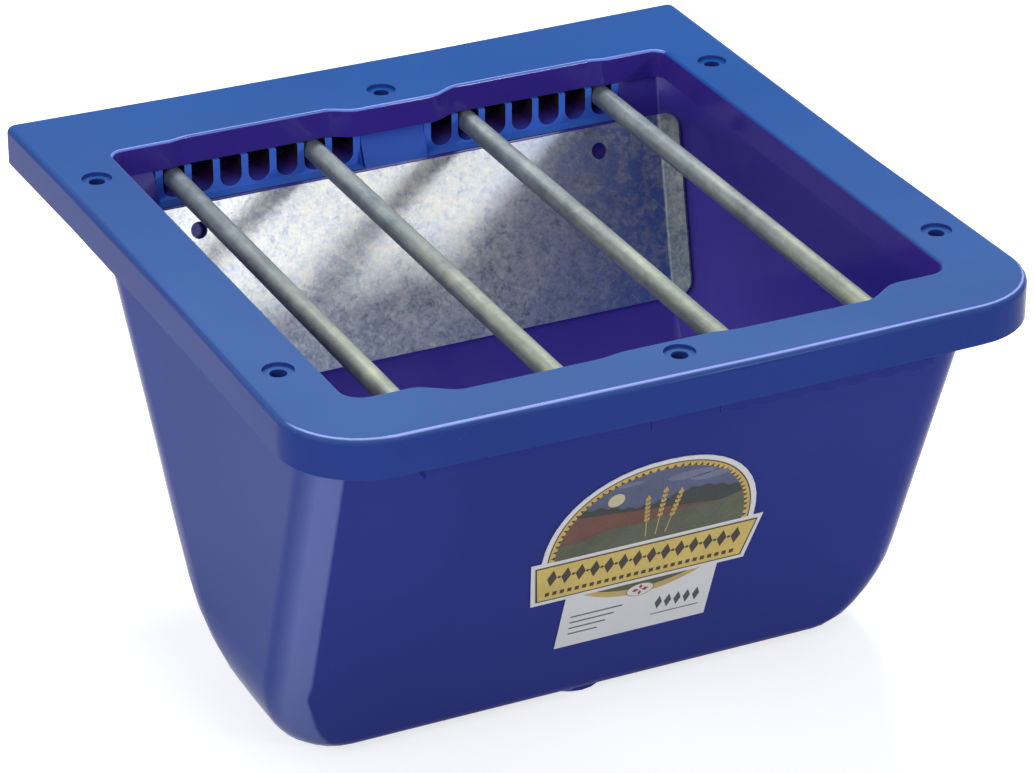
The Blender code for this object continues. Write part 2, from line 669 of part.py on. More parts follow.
def make_bar(name, x, material):
    """A loose round bar. Its origin is in its middle, on the axis that it spins about."""
    radius = BAR_DIAMETER / 2
    half = BAR_LENGTH / 2
    stations = (
        (-half, radius - BAR_CHAMFER),
        (-half + BAR_CHAMFER, radius),
        (half - BAR_CHAMFER, radius),
        (half, radius - BAR_CHAMFER),
    )
    rings = [[(px, y, pz) for px, pz in circle(0, 0, r, BAR_SIDES)] for y, r in stations]
    bar = solid_from_rings(name, rings, material)
    pocket = ROW_LENGTH - ROW_END_WALL
    bar.location = (x, (BACK_POST_OUT + pocket - FRONT_POST_OUT - pocket) / 2, -BAR_DEPTH)
    shade_smooth(bar)
    return bar


def plate_station(place):
    """Where the sheet's middle line is at a place along it, and the way its front faces."""
    half_flat = plate_half_flat()
    bend = PLATE_BEND_RADIUS * PLATE_WING_ANGLE
    side = 1 if place > 0 else -1
    past = max(0.0, abs(place) - half_flat)
    turn = min(1.0, past / bend) * PLATE_WING_ANGLE
    straight = max(0.0, past - bend)
    x = min(abs(place), half_flat) + PLATE_BEND_RADIUS * math.sin(turn) + straight * math.cos(turn)
    y = -PLATE_BEND_RADIUS * (1 - math.cos(turn)) - straight * math.sin(turn)
    normal = Vector((-side * math.sin(turn), -math.cos(turn), 0))
    return Vector((side * x, y, 0)), normal


def plate_places():
    """Places along the flattened sheet, close together on the bends and the rounded corners."""
    half_flat = plate_half_flat()
    bend = PLATE_BEND_RADIUS * PLATE_WING_ANGLE
    end = half_flat + PLATE_WING_LENGTH
    right = [half_flat + bend * i / ARC_STEPS for i in range(ARC_STEPS + 1)]
    turns = [math.pi / 2 * i / ARC_STEPS for i in range(ARC_STEPS + 1)]
    right += [end - PLATE_CORNER * (1 - math.sin(turn)) for turn in turns]
    right.sort()
    return [-place for place in reversed(right)] + right


def make_back_plate(material):
    top = (BOLT_DEPTH - PLATE_TOP_DEPTH) / math.cos(PLATE_TILT)
    end = plate_half_flat() + PLATE_WING_LENGTH
    side_lean = BACK_CREASE_LEAN * math.cos(PLATE_TILT)
    frame = plate_frame()
    rings = []
    for place in plate_places():
        middle, normal = plate_station(place)
        into_corner = max(0.0, abs(place) - (end - PLATE_CORNER))
        trim = PLATE_CORNER - math.sqrt(max(0.0, PLATE_CORNER ** 2 - into_corner ** 2))
        seat = Vector((0, -SEAT_GAP - PLATE_WALL / 2, 0))
        ring = []
        for z, face in ((top - trim, 1), (top - trim, -1),
                        (top - PLATE_HEIGHT + trim, -1), (top - PLATE_HEIGHT + trim, 1)):
            narrowing = math.copysign(side_lean * (top - z), place)
            point = middle + seat + normal * (face * PLATE_WALL / 2) + Vector((-narrowing, 0, z))
            ring.append(tuple(frame @ point))
        rings.append(ring)
    plate = solid_from_rings("back_plate", rings, material)
    cut(plate, bolt_cutter(-1, 0), bolt_cutter(1, 0))
    shade_smooth(plate)
    return plate


def make_screw(name, x, y, material):
    radius = HEAD_HOLE_DIAMETER / 2 - HOLE_GAP
    shank = SHANK_DIAMETER / 2
    seat = HEAD_SEAT_DEPTH - SEAT_GAP
    stations = (
        (seat - HEAD_HEIGHT, radius * HEAD_CROWN_SHARE),
        (seat - HEAD_HEIGHT * HEAD_CROWN_SHARE, radius),
        (seat, radius),
        (seat, shank),
        (SHANK_END_DEPTH - SHANK_DIAMETER, shank),
        (SHANK_END_DEPTH, shank * SHANK_TIP_SHARE),
    )
    rings = [[(px, py, -depth) for px, py in circle(0, 0, r, SCREW_SIDES)] for depth, r in stations]
    screw = solid_from_rings(name, rings, material)
    top = seat - HEAD_HEIGHT
    half_width = HEAD_CROSS_WIDTH / 2
    half_length = radius * CROSS_LENGTH_SHARE
    for turned in (False, True):
        hx, hy = (half_width, half_length) if turned else (half_length, half_width)
        cut(screw, prism("cross", box_outline(-hx, hx, -hy, hy), top - CUT_CLEARANCE, top + HEAD_CROSS_DEPTH))
    screw.location = (x, y, 0)
    shade_smooth(screw)
    return screw


def label_outline():
    """An arch over a wide banner over a lower panel, in (across, down the wall) distances."""
    half_arch = LABEL_ARCH_WIDTH / 2
    half_banner = BANNER_WIDTH / 2
    half_panel = PANEL_WIDTH / 2
    banner_top = LABEL_TOP + LABEL_ARCH_HEIGHT
    banner_bottom = banner_top + BANNER_HEIGHT
    bottom = banner_bottom + PANEL_HEIGHT
    steps = 4 * ARC_STEPS
    arch = []
    for i in range(steps + 1):
        turn = math.pi * i / steps
        across = math.copysign(abs(math.cos(turn)) ** (2 / LABEL_ARCH_POWER), math.cos(turn))
        rise = math.sin(turn) ** (2 / LABEL_ARCH_POWER) if 0 < i < steps else 0
        arch.append((half_arch * across, banner_top - LABEL_ARCH_HEIGHT * rise))
    left = [(-half_banner, banner_top), (-half_banner + BANNER_END_RAKE, banner_bottom)]
    right = [(-x, y) for x, y in reversed(left)]
    panel = [
        (PANEL_SHIFT - half_panel, banner_bottom),
        (PANEL_SHIFT - half_panel, bottom),
        (PANEL_SHIFT + half_panel, bottom),
        (PANEL_SHIFT + half_panel, banner_bottom),
    ]
    return [(LABEL_SHIFT + x, y) for x, y in arch + left + panel + right]


def make_label(material):
    """A thin sheet on the sloping front wall."""
    rings = []
    normal = Vector((0, -math.cos(FRONT_TILT), -math.sin(FRONT_TILT)))
    down = Vector((0, math.sin(FRONT_TILT), -math.cos(FRONT_TILT)))
    start = Vector((0, -TUB_FRONT_OUT, 0))
    for off in (LABEL_GAP, LABEL_GAP + LABEL_WALL):
        rings.append([tuple(start + Vector((x, 0, 0)) + down * y + normal * off) for x, y in label_outline()])
    return solid_from_rings("front_label", rings, material)


def move_origin_to_shelf():
    """Put the origin on the underside of the back shelf, where the feeder rests on a fence board."""
    shift = Vector((0, -SHELF_OUT, FLANGE_UNDERSIDE_DEPTH))
    for obj in bpy.data.objects:
        obj.location += shift


def build():
    clear_scene()
    blue = (0.030, 0.085, 0.400)
    make_tub(make_material("tub_plastic", blue, 0.35))
    make_rim_frame(make_material("rim_plastic", blue, 0.35))
    rows = (("front_left", -1, -1), ("front_right", 1, -1), ("back_left", -1, 1), ("back_right", 1, 1))
    for place, side, sign in rows:
        plastic = make_material(f"row_plastic_{place}", blue, 0.35)
        make_socket_row(f"socket_row_{place}", side, sign, plastic)
    make_back_plate(make_material("galvanised_steel", (0.62, 0.63, 0.62), 0.4, 1.0))
    places = sorted(side * slot_place(index) for side in (-1, 1) for index in FILLED_SLOTS)
    for number, x in enumerate(places, 1):
        make_bar(f"grate_bar_{number}", x, make_material(f"bar_zinc_{number}", (0.42, 0.43, 0.41), 0.45, 1.0))
    for number, (x, y) in enumerate(SCREW_PLACES, 1):
        make_screw(f"frame_screw_{number}", x, y, make_material(f"screw_steel_{number}", (0.1, 0.1, 0.11), 0.5, 1.0))
    make_label(make_material("label_paper", (0.75, 0.72, 0.6), 0.5))
    move_origin_to_shelf()


build()
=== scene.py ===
import math

import bmesh
import bpy
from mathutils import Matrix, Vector


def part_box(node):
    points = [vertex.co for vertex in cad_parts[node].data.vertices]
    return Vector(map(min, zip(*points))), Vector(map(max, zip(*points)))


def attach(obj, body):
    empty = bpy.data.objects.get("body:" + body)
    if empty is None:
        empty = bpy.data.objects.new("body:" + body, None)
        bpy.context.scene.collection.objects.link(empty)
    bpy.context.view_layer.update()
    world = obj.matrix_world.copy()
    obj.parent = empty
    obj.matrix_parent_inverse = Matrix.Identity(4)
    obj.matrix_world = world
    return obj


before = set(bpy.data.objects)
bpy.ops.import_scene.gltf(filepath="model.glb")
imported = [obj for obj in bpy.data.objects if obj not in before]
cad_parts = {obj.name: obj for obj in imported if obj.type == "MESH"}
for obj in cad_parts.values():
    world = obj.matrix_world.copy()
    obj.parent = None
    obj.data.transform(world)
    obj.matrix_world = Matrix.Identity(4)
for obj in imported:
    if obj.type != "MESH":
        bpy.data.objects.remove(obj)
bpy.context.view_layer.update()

# Places and lengths are in metres in the CAD's frame, except for the label's print

ROOT = "feeder"
BARS = [f"grate_bar_{i}" for i in range(1, 5)]
SCREWS = [f"frame_screw_{i}" for i in range(1, 7)]
FRONT_ROWS = ["socket_row_front_left", "socket_row_front_right"]
BACK_ROWS = ["socket_row_back_left", "socket_row_back_right"]

TUB_LOW, TUB_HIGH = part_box("tub")
RIM_LOW, RIM_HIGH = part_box("rim_frame")
MIDDLE = (TUB_LOW + TUB_HIGH) / 2
SIDE_RAIL = 0.0290
FRONT_RAIL = 0.0262
BACK_RAIL = 0.0453
OPENING_LOW = RIM_LOW + Vector((SIDE_RAIL, FRONT_RAIL, 0))
OPENING_HIGH = RIM_HIGH - Vector((SIDE_RAIL, BACK_RAIL, 0))

# Where a piece's surfaces change their finish, or their painted light and shade

BLOCK_HALF_WIDTH = 0.0165
BLOCK_LOW_Z = -0.0128
TUB_FLOOR_Z = -0.10
SOCKET_FLOOR_Z = -0.0111
SOCKET_END_WALL = 0.003
SOCKET_END_REACH = 0.002
ROW_SKIN = 0.0003
LEFT_WALL_FRONT_Y = -0.26
LEFT_WALL_REAR_Y = -0.08
WELL_TOP_Z = -0.03
WELL_LOW_Z = -0.16
SOCKET_DARK_Z = 0.003
SOCKET_LIGHT_Z = -0.0105
PLATE_BLUE_REFLECTION_X = (0.035, 0.115)
PLATE_LIT_X = (-0.10, -0.02)
PLATE_LOW_LIGHT_Z = (-0.045, -0.085)
BAR_REAR_Y = -0.08
BAR_FRONT_Y = -0.24

# The same by the way that a face points, from -1 to 1 along an axis

TUB_UNDERSIDE = -0.3
TUB_FLOOR_UP = 0.5
LIP_TOP = 0.35
LIP_REAR = -0.3
ROW_UNDERSIDE = -0.2
ROW_ENDWISE = 0.9
CORNER_LEFT = (0.22, 0.30)
WALL_LEFT = (0.70, 0.97)
EDGE_FRONT = (0.06, 0.16)
SKYWARD = (0.15, 0.95)
WING_SIDEWAYS = (0.3, 0.5)

# The sockets, and the thin closures in their rows: an outline gives places along and up

FIRST_SLOT = 0.0238
SLOT_PITCH = 0.0132
SLOTS_PER_ROW = 7
SCALLOP_HEIGHT = 0.0017
SEAM = 0.0003
SEAM_BITE = 0.00005
WEB_IN_Y = -0.2897
WEB_OUT_Y = -0.2934
WEB_LOW_Z = -0.01225
WEB_SKIN = 0.0001
WEB_INNER_SHARE = 0.25
WEB_STEPS = 112
SILL_IN_Y = -0.2866
SILL_OUT_Y = -0.2905
SILL_LOW_Z = -0.01265
SILL = ((SILL_IN_Y, WEB_LOW_Z), (SILL_OUT_Y, WEB_LOW_Z), (SILL_OUT_Y, SILL_LOW_Z), (SILL_IN_Y, SILL_LOW_Z))
CHEEK_NEAR = 0.0001
CHEEK_FAR = 0.0006
FRONT_CHEEK = ((-0.2856, -0.01225), (-0.2911, 0.0025), (-0.2934, 0.0025), (-0.2934, -0.01225))
BACK_CHEEK = ((-0.0334, -0.01225), (-0.0306, -0.0060), (-0.0299, -0.0060), (-0.0299, -0.01225))
FRONT_SEAM = ((-0.2859, -0.0125), (-0.2914, 0.0025), (-0.2933, 0.0025), (-0.2878, -0.0125))
BACK_SEAM = ((-0.0331, -0.0125), (-0.0265, 0.0025), (-0.0246, 0.0025), (-0.0312, -0.0125))

# Edges, and how far apart facets may lean and still join into one smooth face

WELD_DISTANCE = 0.000002
FACET_ANGLE = math.radians(0.6)
EDGE_ANGLE = math.radians(32)
NORMAL_WEIGHT = 60
TUB_EDGE = 0.0005
RIM_EDGE = 0.0004
PLATE_EDGE = 0.0004
FRONT_ROW_EDGE = 0.0006
BACK_ROW_EDGE = 0.0008
SMALL_EDGE = 0.0002


class Nodes:
    """Builds a material's node tree in short steps. Noise and cell scales are per metre."""

    def __init__(self, name):
        self.material = bpy.data.materials.new(name)
        self.material.use_nodes = True
        self.tree = self.material.node_tree
        self.shader = self.tree.nodes["Principled BSDF"]

    def add(self, kind, inputs=None, **settings):
        node = self.tree.nodes.new(kind)
        for key, value in settings.items():
            setattr(node, key, value)
        for key, value in (inputs or {}).items():
            self.put(node.inputs[key], value)
        return node

    def put(self, socket, value):
        if isinstance(value, bpy.types.NodeSocket):
            self.tree.links.new(value, socket)
        elif isinstance(value, tuple) and len(value) == 3 and socket.type == "RGBA":
            socket.default_value = (*value, 1.0)
        else:
            socket.default_value = value

    def coords(self, scale=(1, 1, 1), turn=(0, 0, 0)):
        place = self.add("ShaderNodeTexCoord").outputs["Object"]
        return self.add("ShaderNodeMapping", {"Vector": place, "Scale": scale, "Rotation": turn}).outputs[0]

    def axes(self, output):
        place = self.add("ShaderNodeTexCoord").outputs[output]
        return self.add("ShaderNodeSeparateXYZ", {0: place}).outputs

    def place(self):
        return self.axes("Object")

    def facing(self):
        return self.axes("Normal")

    def noise(self, scale, detail, rough, vector=None, distortion=0.0, output="Fac"):
        node = self.add("ShaderNodeTexNoise", {
            "Vector": vector or self.coords(), "Scale": scale, "Detail": detail,
            "Roughness": rough, "Distortion": distortion})
        return node.outputs[output]

    def ramp(self, value, *stops):
        """A colour or a grey for each place along a value, blended between the stops."""
        node = self.add("ShaderNodeValToRGB", {"Fac": value})
        elements = node.color_ramp.elements
        while len(elements) < len(stops):
            elements.new(1.0)
        for element, (place, colour) in zip(elements, stops):
            element.position = place
            element.color = (*colour, 1.0) if isinstance(colour, tuple) else (colour, colour, colour, 1.0)
        return node.outputs["Color"]

    def math(self, operation, a, b=0.0):
        return self.add("ShaderNodeMath", {0: a, 1: b}, operation=operation).outputs[0]

    def weigh(self, *parts):
        """The sum of values, each times its weight."""
        shares = [self.math("MULTIPLY", value, weight) for value, weight in parts]
        total = shares[0]
        for share in shares[1:]:
            total = self.math("ADD", total, share)
        return total

    def mix(self, factor, a, b, blend="MIX"):
        node = self.add("ShaderNodeMix", {"Factor": factor}, data_type="RGBA", blend_type=blend)
        self.put(node.inputs[6], a)
        self.put(node.inputs[7], b)
        return node.outputs[2]

    def tint(self, colour, factor):
        return self.mix(1.0, colour, factor, "MULTIPLY")

    def spots(self, colour, mask, strength, spot_colour):
        return self.mix(self.math("MULTIPLY", mask, strength), colour, spot_colour)

    def span(self, value, low, high, to_low=0.0, to_high=1.0):
        """Maps low to high onto to_low to to_high, and holds it there beyond them."""
        node = self.add("ShaderNodeMapRange", {
            "Value": value, "From Min": low, "From Max": high, "To Min": to_low, "To Max": to_high})
        return node.outputs[0]

    def bump(self, height, distance, strength, normal=None):
        inputs = {"Height": height, "Distance": distance, "Strength": strength}
        if normal:
            inputs["Normal"] = normal
        return self.add("ShaderNodeBump", inputs).outputs[0]

    def surface(self, colour, rough, normal, metal=0.0, specular=0.5):
        values = {"Base Color": colour, "Roughness": rough, "Normal": normal,
                  "Metallic": metal, "Specular IOR Level": specular}
        for key, value in values.items():
            self.put(self.shader.inputs[key], value)
        return self.material


def painted_left_light(n, deep, corner, front, rear):
    """Upright faces' colour, with painted light from the left: a pale left corner, and a left wall that runs
    from its front colour to its rear colour.
    """
    left = n.math("MULTIPLY", n.facing()[0], -1.0)
    flat = n.mix(n.span(n.place()[1], LEFT_WALL_FRONT_Y, LEFT_WALL_REAR_Y), front, rear)
    return n.mix(n.span(left, *CORNER_LEFT), deep, n.mix(n.span(left, *WALL_LEFT), corner, flat))


def painted_edge_highlight(n, colour, line):
    """A painted highlight: a bright line where an edge that faces the front rounds over to the top."""
    along, up = n.facing()[1:3]
    rounding = n.ramp(up, (0.80, 0.0), (0.90, 1.0), (0.94, 1.0), (0.985, 0.0))
    front = n.span(n.math("MULTIPLY", along, -1.0), *EDGE_FRONT)
    return n.mix(n.math("MULTIPLY", rounding, front), colour, line)


def plastic(name, deep, sky_colour, sky_strength, rough=0.15, specular=0.03,
            pale=None, side=None, line=None, low=None):
    """Glossy blue moulding with flow clouding, fine grain and scuffs, and painted light by facing.

    deep: the colour of upright faces; sky colour: that of faces that face the sky, a painted light
    that differs by facing; pale: the same towards the front left, a painted haze of light; side: the
    colours of painted light on the left corner and on the left wall's front and rear; line: a painted
    highlight on rounded front edges; low: the colour deep down inside, painted lighter towards the bottom.
    """
    n = Nodes(name)
    x, y, z = n.place()
    flow = n.noise(scale=9.0, detail=3.0, rough=0.45, distortion=0.6)
    # Towards the front left, faces that face the sky turn paler still: a painted haze of light
    if pale:
        front_left_haze = n.span(n.math("SUBTRACT", n.math("MULTIPLY", x, -0.55), y), 0.0, 0.30)
        sky_colour = n.mix(front_left_haze, sky_colour, pale)
    # On the left corner and the left wall: painted light from the left
    if side:
        deep = painted_left_light(n, deep, *side)
    # Deep down inside, the colour turns lighter towards the bottom: painted light
    if low:
        deep = n.mix(n.span(z, WELL_TOP_Z, WELL_LOW_Z), deep, low)
    # Faces that face the sky take their own colour, a painted light by facing: greener and a little paler on
    # the tub and rim tops, darker on the socket ledges and the block
    strength = n.span(flow, 0.2, 0.8, sky_strength * 0.9, sky_strength)
    colour = n.mix(n.math("MULTIPLY", n.span(n.facing()[2], *SKYWARD), strength), deep, sky_colour)
    colour = n.tint(colour, n.ramp(flow, (0.3, 0.94), (0.7, 1.05)))
    # A painted highlight on rounded front edges
    if line:
        colour = painted_edge_highlight(n, colour, line)
    specks = n.ramp(n.noise(scale=900.0, detail=2.0, rough=0.5), (0.70, 0.0), (0.80, 1.0))
    colour = n.spots(colour, specks, 0.10, (0.35, 0.42, 0.60))
    streaked = n.coords(scale=(1.0, 0.12, 1.0), turn=(0.0, 0.0, 0.5))
    scuffs = n.ramp(n.noise(scale=60.0, detail=6.0, rough=0.65, vector=streaked), (0.62, 0.0), (0.72, 1.0))
    clouds = n.noise(scale=22.0, detail=5.0, rough=0.6)
    roughness = n.math("ADD", n.span(clouds, 0.3, 0.7, rough - 0.03, rough + 0.04),
                       n.math("MULTIPLY", scuffs, 0.08))
    waves = n.bump(n.noise(scale=7.0, detail=1.0, rough=0.3), distance=0.0005, strength=0.5)
    fine = n.noise(scale=1400.0, detail=2.0, rough=0.5)
    grain = n.bump(fine, distance=0.00002, strength=0.3, normal=waves)
    return n.surface(colour, roughness, grain, specular=specular)


def slot_shade(name):
    """The sockets' insides: almost black under the rim, violet lower down where light comes through."""
    n = Nodes(name)
    depth = n.span(n.place()[2], SOCKET_DARK_Z, SOCKET_LIGHT_Z)
    clouds = n.noise(scale=160.0, detail=3.0, rough=0.5)
    colour = n.ramp(n.math("ADD", depth, n.math("MULTIPLY", clouds, 0.10)),
                    (0.15, (0.020, 0.017, 0.014)), (0.50, (0.030, 0.012, 0.022)),
                    (0.78, (0.045, 0.018, 0.15)), (1.0, (0.045, 0.050, 0.38)))
    fine = n.noise(scale=900.0, detail=2.0, rough=0.5)
    return n.surface(colour, 0.3, n.bump(fine, distance=0.00002, strength=0.3), specular=0.05)


def galvanised(name, lightness=1.0):
    """Hot-dip sheet: fine grain, cloudy bloom and dark pits, with painted light: blue patches to the right
    as a painted reflection of the blue wall, lighter to the left and towards the bottom, and darker wings in
    painted shade.
    """
    n = Nodes(name)
    drift = n.add("ShaderNodeVectorMath", {
        0: n.noise(scale=160.0, detail=3.0, rough=0.5, output="Color"), "Scale": 0.008}, operation="SCALE")
    place = n.add("ShaderNodeVectorMath", {0: n.coords(), 1: drift.outputs[0]}, operation="ADD").outputs[0]
    crystals = n.add("ShaderNodeTexVoronoi", {"Vector": place, "Scale": 520.0}).outputs["Color"]
    tone = n.add("ShaderNodeSeparateColor", {0: crystals}).outputs[0]
    fine = n.noise(scale=620.0, detail=6.0, rough=0.75)
    bloom = n.noise(scale=60.0, detail=6.0, rough=0.65, distortion=0.6)
    spangle = n.noise(scale=230.0, detail=3.0, rough=0.6, distortion=0.8)
    value = n.weigh((tone, 0.08), (fine, 0.36), (bloom, 0.22), (spangle, 0.34))
    shades = ((0.38, (0.19, 0.215, 0.255)), (0.46, (0.34, 0.365, 0.385)),
              (0.54, (0.48, 0.49, 0.465)), (0.64, (0.67, 0.645, 0.56)))
    colour = n.ramp(value, *((at, tuple(lightness * c for c in shade)) for at, shade in shades))

    x, y, z = n.place()
    wing = n.span(n.math("ABSOLUTE", n.facing()[0]), *WING_SIDEWAYS)
    # Blue patches to the right: a painted reflection of the blue wall
    right = n.math("MULTIPLY", n.span(x, *PLATE_BLUE_REFLECTION_X), n.math("SUBTRACT", 1.0, wing))
    blue_reflection_noise = n.weigh((n.noise(scale=85.0, detail=6.0, rough=0.7), 0.45), (spangle, 0.55))
    patches = n.ramp(blue_reflection_noise, (0.44, 0.20), (0.54, 1.0))
    colour = n.spots(colour, n.math("MULTIPLY", right, patches), 0.88, (0.060, 0.145, 0.400))
    # Lighter towards the left: painted light
    colour = n.tint(colour, n.span(x, *PLATE_LIT_X, to_low=1.5, to_high=1.0))
    # Lighter and greener towards the bottom: painted light
    colour = n.tint(colour, n.mix(n.span(z, *PLATE_LOW_LIGHT_Z), (1.0, 1.0, 1.0), (1.20, 1.35, 1.25)))
    # Darker on the sideways wings: painted shade
    colour = n.tint(colour, n.mix(wing, (1.0, 1.0, 1.0), (0.72, 0.78, 0.73)))
    pits = n.ramp(n.noise(scale=700.0, detail=3.0, rough=0.5), (0.66, 0.0), (0.74, 1.0))
    colour = n.spots(colour, pits, 0.40, (0.22, 0.18, 0.15))

    relief = n.math("ADD", fine, n.math("MULTIPLY", tone, 0.5))
    return n.surface(colour, n.span(value, 0.3, 0.7, 0.34, 0.50),
                     n.bump(relief, distance=0.00008, strength=0.5),
                     metal=n.math("SUBTRACT", 0.92, n.weigh((wing, 0.55), (right, 0.30))))


def zinc_rod(name, shift):
    """Drawn rod with dull zinc: streaks along it, dark specks and a few rubbed patches; bluer towards the
    rear, a painted reflection of the blue tub, and warmer towards the front.
    """
    n = Nodes(name)
    streaks = n.noise(scale=240.0, detail=5.0, rough=0.6, vector=n.coords(scale=(1.0, 0.03, 1.0)))
    patches = n.noise(scale=38.0, detail=5.0, rough=0.6, distortion=0.4,
                      vector=n.coords(scale=(1.0, 0.7, 1.0)))
    blotches = n.noise(scale=210.0 + shift, detail=4.0, rough=0.6, distortion=0.5,
                       vector=n.coords(scale=(1.0, 0.6, 1.0)))
    value = n.weigh((streaks, 0.50), (patches, 0.28), (blotches, 0.22))
    colour = n.ramp(value, (0.36, (0.10, 0.115, 0.12)), (0.46, (0.18, 0.205, 0.210)),
                    (0.54, (0.25, 0.275, 0.265)), (0.64, (0.37, 0.385, 0.335)))
    # Bluer towards the rear: a painted reflection of the blue tub
    front = n.span(n.place()[1], BAR_REAR_Y, BAR_FRONT_Y)
    colour = n.tint(colour, n.mix(front, (0.88, 0.92, 1.0), (1.02, 1.02, 0.88)))
    specks = n.ramp(n.noise(scale=700.0 + shift, detail=3.0, rough=0.55), (0.66, 0.0), (0.74, 1.0))
    colour = n.spots(colour, specks, 0.6, (0.10, 0.10, 0.09))
    relief = n.math("ADD", streaks, n.noise(scale=420.0, detail=3.0, rough=0.5))
    return n.surface(colour, n.span(value, 0.3, 0.7, 0.46, 0.62),
                     n.bump(relief, distance=0.00010, strength=0.6), metal=0.45, specular=0.2)


def screw_steel(name):
    """Dark coated steel, a little uneven."""
    n = Nodes(name)
    value = n.noise(scale=500.0, detail=4.0, rough=0.6)
    colour = n.ramp(value, (0.3, (0.020, 0.035, 0.12)), (0.7, (0.055, 0.080, 0.20)))
    return n.surface(colour, n.span(value, 0.3, 0.7, 0.4, 0.6),
                     n.bump(value, distance=0.00005, strength=0.4), metal=0.6)


def printed(name, colour, vary=0.10):
    """Ink on a vinyl sticker: slight unevenness and a fine print grain."""
    n = Nodes(name)
    fine = n.noise(scale=1500.0, detail=3.0, rough=0.6)
    value = n.weigh((fine, 0.5), (n.noise(scale=70.0, detail=4.0, rough=0.55), 0.5))
    low = tuple(channel * (1 - vary) for channel in colour)
    high = tuple(min(1.0, channel * (1 + vary)) for channel in colour)
    return n.surface(n.ramp(value, (0.35, low), (0.65, high)), n.span(value, 0.3, 0.7, 0.30, 0.40),
                     n.bump(fine, distance=0.00001, strength=0.4), specular=0.25)


def assign(name, materials, choose=lambda place, normal: 0):
    """Gives a node's faces their materials: choose returns a material's number for a place and a normal."""
    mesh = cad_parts[name].data
    mesh.materials.clear()
    for material in materials:
        mesh.materials.append(material)
    for polygon in mesh.polygons:
        polygon.material_index = choose(polygon.center, polygon.normal)


def faces_in(place, normal):
    return normal.x * place.x + normal.y * (place.y - MIDDLE.y) < 0


def tub_part(place, normal):
    """0 outside, 1 inside, 2 the block and ledge between the rear sockets."""
    inward = faces_in(place, normal)
    if inward and abs(place.x) < BLOCK_HALF_WIDTH and place.z > BLOCK_LOW_Z and place.y > MIDDLE.y:
        return 2
    if (inward and normal.z > TUB_UNDERSIDE) or (normal.z > TUB_FLOOR_UP and place.z < TUB_FLOOR_Z):
        return 1
    return 0


def rim_part(place, normal):
    """0 the frame, 1 the lip's upright faces in the opening, 2 the rounding of the opening's rear edge, with
    a painted highlight.
    """
    in_opening = abs(place.x) < OPENING_HIGH.x and OPENING_LOW.y < place.y < OPENING_HIGH.y
    if not (in_opening and faces_in(place, normal)):
        return 0
    if normal.z < LIP_TOP:
        return 1
    return 2 if normal.y < LIP_REAR and place.y > MIDDLE.y else 0


def row_part(name):
    """0 the block's faces, 1 the insides of its sockets."""
    low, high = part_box(name)
    end = high.y - SOCKET_END_WALL if low.y > MIDDLE.y else low.y + SOCKET_END_WALL

    def choose(place, normal):
        across = low.x + ROW_SKIN < place.x < high.x - ROW_SKIN
        if not (across and SOCKET_FLOOR_Z < place.z < high.z - ROW_SKIN) or normal.z < ROW_UNDERSIDE:
            return 0
        if abs(normal.y) > ROW_ENDWISE:
            return 1 if abs(place.y - end) < SOCKET_END_REACH else 0
        return 1

    return choose


def soften(name, width, segments=3, edge_material=-1):
    """Joins a node's facets into smooth faces and rounds its edges, with modifiers only."""
    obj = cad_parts[name]
    obj.data.polygons.foreach_set("use_smooth", [True] * len(obj.data.polygons))
    weld = obj.modifiers.new("weld", "WELD")
    weld.merge_threshold = WELD_DISTANCE
    flat = obj.modifiers.new("flat_faces", "DECIMATE")
    flat.decimate_type = "DISSOLVE"
    flat.angle_limit = FACET_ANGLE
    flat.delimit = {"NORMAL", "MATERIAL"}
    bevel = obj.modifiers.new("soft_edges", "BEVEL")
    bevel.width = width
    bevel.segments = segments
    bevel.limit_method = "ANGLE"
    bevel.angle_limit = EDGE_ANGLE
    bevel.use_clamp_overlap = True
    bevel.material = edge_material
    normals = obj.modifiers.new("even_normals", "WEIGHTED_NORMAL")
    normals.keep_sharp = True
    normals.weight = NORMAL_WEIGHT


def between(outline, pairs):
    """A straight stretch of an outline between each pair of places across."""
    return [[[(x, y, z) for y, z in outline] for x in pair] for pair in pairs]


def scallop_rise(x):
    """How far a front row's scalloped underside is above its lowest line, at a place across."""
    offset = min(abs(abs(x) - FIRST_SLOT - i * SLOT_PITCH) for i in range(SLOTS_PER_ROW))
    return SCALLOP_HEIGHT * min(1.0, (2 * offset / SLOT_PITCH) ** 2)


def web(name):
    """Closes the corner between a front row's ledge and the feet of its posts."""
    low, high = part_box(name)
    start, end = low.x + ROW_SKIN, high.x - ROW_SKIN
    sections = []
    for i in range(WEB_STEPS + 1):
        x = start + (end - start) * i / WEB_STEPS
        rise = scallop_rise(x)
        sections.append([(x, WEB_IN_Y, WEB_LOW_Z + WEB_SKIN + WEB_INNER_SHARE * rise),
                         (x, WEB_OUT_Y, WEB_LOW_Z + WEB_SKIN + rise),
                         (x, WEB_OUT_Y, WEB_LOW_Z), (x, WEB_IN_Y, WEB_LOW_Z)])
    return sections


def sill(name):
    """Closes the seam under a front row, and the thin places of its ledge."""
    low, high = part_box(name)
    return between(SILL, [(low.x - SEAM - SEAM_BITE, high.x + SEAM + SEAM_BITE)])


def cheeks(name, outline):
    """Closes the wedges between a row's two ends and the leaning wall beside them."""
    low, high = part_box(name)
    return between(outline, [(low.x + CHEEK_NEAR, low.x + CHEEK_FAR),
                             (high.x - CHEEK_FAR, high.x - CHEEK_NEAR)])


def seams(name, outline):
    """Closes the seams between a row's two ends and the wall, almost as thick as the wall."""
    low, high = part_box(name)
    return between(outline, [(low.x - SEAM - SEAM_BITE, low.x + SEAM_BITE),
                             (high.x - SEAM_BITE, high.x + SEAM + SEAM_BITE)])


